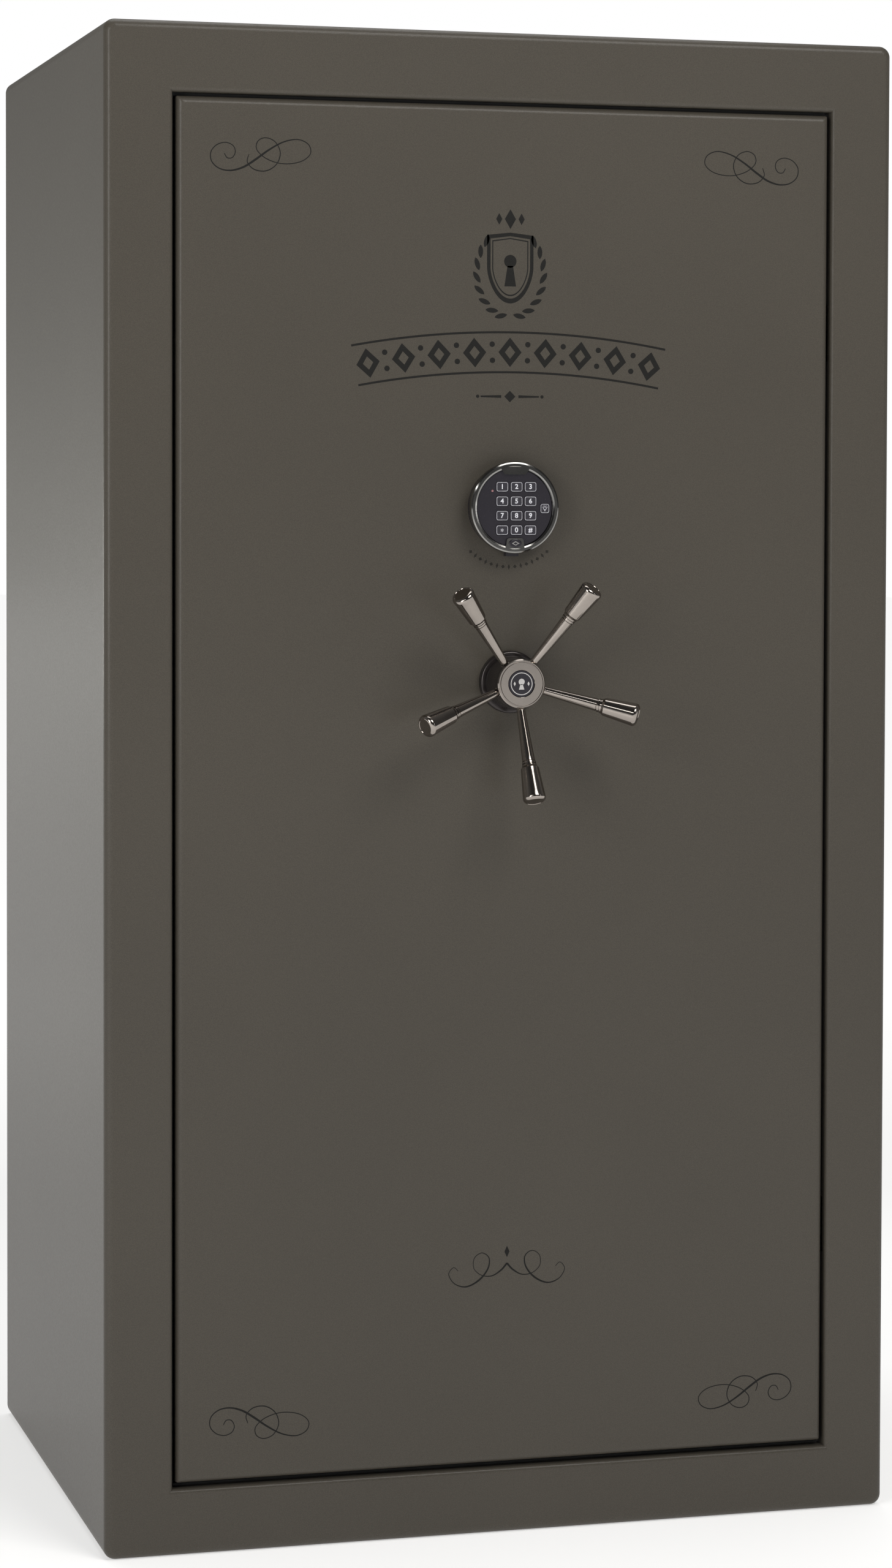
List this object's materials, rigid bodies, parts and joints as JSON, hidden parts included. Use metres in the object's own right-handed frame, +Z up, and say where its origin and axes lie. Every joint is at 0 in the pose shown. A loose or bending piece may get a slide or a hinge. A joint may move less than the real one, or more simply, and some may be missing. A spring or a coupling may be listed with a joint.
{
  "type": "gun safe",
  "caption": "Upright steel long-gun safe with one hinged door, spoked handle, electronic keypad, boltwork and a shelved interior.",
  "frame": {"origin": "centre of the underside, which is the centre of the floor anchor pattern", "axes": "+X to the right seen from the front, +Y from the door to the back, +Z up"},
  "size_m": [0.914, 0.8101, 1.689],
  "materials": {
    "body_paint": "satin",
    "frame_steel": "satin",
    "seal_rubber": "matte",
    "fire_board": "matte",
    "carpet": "matte",
    "zinc_steel": "satin",
    "door_paint": "satin",
    "hard_steel": "satin",
    "panel_fabric": "matte",
    "arm_steel": "satin",
    "bronze": "satin",
    "lock_zinc": "satin",
    "wire_insulation": "satin",
    "black_nickel": "polished",
    "black_plastic": "gloss",
    "key_plastic": "satin",
    "lamp": "gloss"
  },
  "bodies": {
    "cabinet": {"body_shell": "body_paint", "back_panel": "body_paint", "jamb_frame": "frame_steel", "door_seal": "seal_rubber", "fireboard_lining": "fire_board", "carpet_lining": "carpet", "shelf_supports": "zinc_steel", "shelves": "carpet", "center_divider": "carpet", "barrel_rack": "carpet", "stock_rest": "carpet", "cable_grommet": "seal_rubber", "hinge_brackets": "frame_steel", "hinge_pins": "zinc_steel"},
    "door": {"door_skin": "door_paint", "door_fireboard": "fire_board", "hard_plate": "hard_steel", "door_pan": "frame_steel", "bolt_frame": "frame_steel", "door_panel": "panel_fabric", "door_pockets": "panel_fabric", "hinge_arms": "arm_steel", "hinge_bushings": "bronze", "hinge_screws": "zinc_steel", "guide_studs": "zinc_steel", "shaft_bushing": "bronze", "lock_body": "lock_zinc", "lock_wire": "wire_insulation", "handle_flange": "black_nickel", "keypad_base": "black_plastic", "keypad_bezel": "black_nickel", "keypad_badge": "black_plastic", "keypad_face": "black_plastic", "status_lamp": "lamp"},
    "handle": {"handle_hub": "black_nickel", "hub_ring": "black_nickel", "hub_cap": "black_plastic", "handle_spokes": "black_nickel", "handle_grips": "black_nickel", "handle_shaft": "arm_steel", "drive_pinion": "arm_steel"},
    "left_bolts": {"bar_left": "arm_steel"},
    "right_bolts": {"bar_right": "arm_steel"},
    "top_bolts": {"bar_top": "arm_steel"},
    "bottom_bolts": {"bar_bottom": "arm_steel"},
    "latch": {"lock_bolt": "zinc_steel"},
    "drawer": {"battery_drawer": "black_plastic"},
    "key_1": {"key_1": "key_plastic"},
    "key_2": {"key_2": "key_plastic"},
    "key_3": {"key_3": "key_plastic"},
    "key_4": {"key_4": "key_plastic"},
    "key_5": {"key_5": "key_plastic"},
    "key_6": {"key_6": "key_plastic"},
    "key_7": {"key_7": "key_plastic"},
    "key_8": {"key_8": "key_plastic"},
    "key_9": {"key_9": "key_plastic"},
    "key_star": {"key_star": "key_plastic"},
    "key_0": {"key_0": "key_plastic"},
    "key_hash": {"key_hash": "key_plastic"},
    "key_light": {"key_light": "key_plastic"}
  },
  "joints": [
    {"name": "door_swing", "type": "hinge", "parent": "cabinet", "child": "door", "pos_m": [0.428, -0.3355, 0], "axis": [0, 0, 1], "range_deg": [0, 90]},
    {"name": "handle_turn", "type": "hinge", "parent": "door", "child": "handle", "pos_m": [0.0017, -0.3555, 0.9636], "axis": [0, -1, 0], "range_deg": [0, 90]},
    {"name": "left_bolts_slide", "type": "slide", "parent": "door", "child": "left_bolts", "axis": [-1, 0, 0], "range_m": [0, 0.0315]},
    {"name": "right_bolts_slide", "type": "slide", "parent": "door", "child": "right_bolts", "axis": [1, 0, 0], "range_m": [0, 0.0315]},
    {"name": "top_bolts_slide", "type": "slide", "parent": "door", "child": "top_bolts", "axis": [0, 0, 1], "range_m": [0, 0.0315]},
    {"name": "bottom_bolts_slide", "type": "slide", "parent": "door", "child": "bottom_bolts", "axis": [0, 0, -1], "range_m": [0, 0.0315]},
    {"name": "latch_slide", "type": "slide", "parent": "door", "child": "latch", "axis": [-1, 0, 0], "range_m": [0, 0.0095]},
    {"name": "drawer_slide", "type": "slide", "parent": "door", "child": "drawer", "axis": [0, 0, -1], "range_m": [0, 0.05]},
    {"name": "key_1_press", "type": "slide", "parent": "door", "child": "key_1", "axis": [0, 1, 0], "range_m": [0, 0.0008], "stiffness_N_per_m": 400, "springref_m": -0.001},
    {"name": "key_2_press", "type": "slide", "parent": "door", "child": "key_2", "axis": [0, 1, 0], "range_m": [0, 0.0008], "stiffness_N_per_m": 400, "springref_m": -0.001},
    {"name": "key_3_press", "type": "slide", "parent": "door", "child": "key_3", "axis": [0, 1, 0], "range_m": [0, 0.0008], "stiffness_N_per_m": 400, "springref_m": -0.001},
    {"name": "key_4_press", "type": "slide", "parent": "door", "child": "key_4", "axis": [0, 1, 0], "range_m": [0, 0.0008], "stiffness_N_per_m": 400, "springref_m": -0.001},
    {"name": "key_5_press", "type": "slide", "parent": "door", "child": "key_5", "axis": [0, 1, 0], "range_m": [0, 0.0008], "stiffness_N_per_m": 400, "springref_m": -0.001},
    {"name": "key_6_press", "type": "slide", "parent": "door", "child": "key_6", "axis": [0, 1, 0], "range_m": [0, 0.0008], "stiffness_N_per_m": 400, "springref_m": -0.001},
    {"name": "key_7_press", "type": "slide", "parent": "door", "child": "key_7", "axis": [0, 1, 0], "range_m": [0, 0.0008], "stiffness_N_per_m": 400, "springref_m": -0.001},
    {"name": "key_8_press", "type": "slide", "parent": "door", "child": "key_8", "axis": [0, 1, 0], "range_m": [0, 0.0008], "stiffness_N_per_m": 400, "springref_m": -0.001},
    {"name": "key_9_press", "type": "slide", "parent": "door", "child": "key_9", "axis": [0, 1, 0], "range_m": [0, 0.0008], "stiffness_N_per_m": 400, "springref_m": -0.001},
    {"name": "key_star_press", "type": "slide", "parent": "door", "child": "key_star", "axis": [0, 1, 0], "range_m": [0, 0.0008], "stiffness_N_per_m": 400, "springref_m": -0.001},
    {"name": "key_0_press", "type": "slide", "parent": "door", "child": "key_0", "axis": [0, 1, 0], "range_m": [0, 0.0008], "stiffness_N_per_m": 400, "springref_m": -0.001},
    {"name": "key_hash_press", "type": "slide", "parent": "door", "child": "key_hash", "axis": [0, 1, 0], "range_m": [0, 0.0008], "stiffness_N_per_m": 400, "springref_m": -0.001},
    {"name": "key_light_press", "type": "slide", "parent": "door", "child": "key_light", "axis": [0, 1, 0], "range_m": [0, 0.0008], "stiffness_N_per_m": 400, "springref_m": -0.001}
  ],
  "couplings": [
    {"joint": "left_bolts_slide", "follows": "handle_turn", "m_per_rad": 0.02},
    {"joint": "right_bolts_slide", "follows": "handle_turn", "m_per_rad": 0.02},
    {"joint": "top_bolts_slide", "follows": "handle_turn", "m_per_rad": 0.02},
    {"joint": "bottom_bolts_slide", "follows": "handle_turn", "m_per_rad": 0.02}
  ]
}
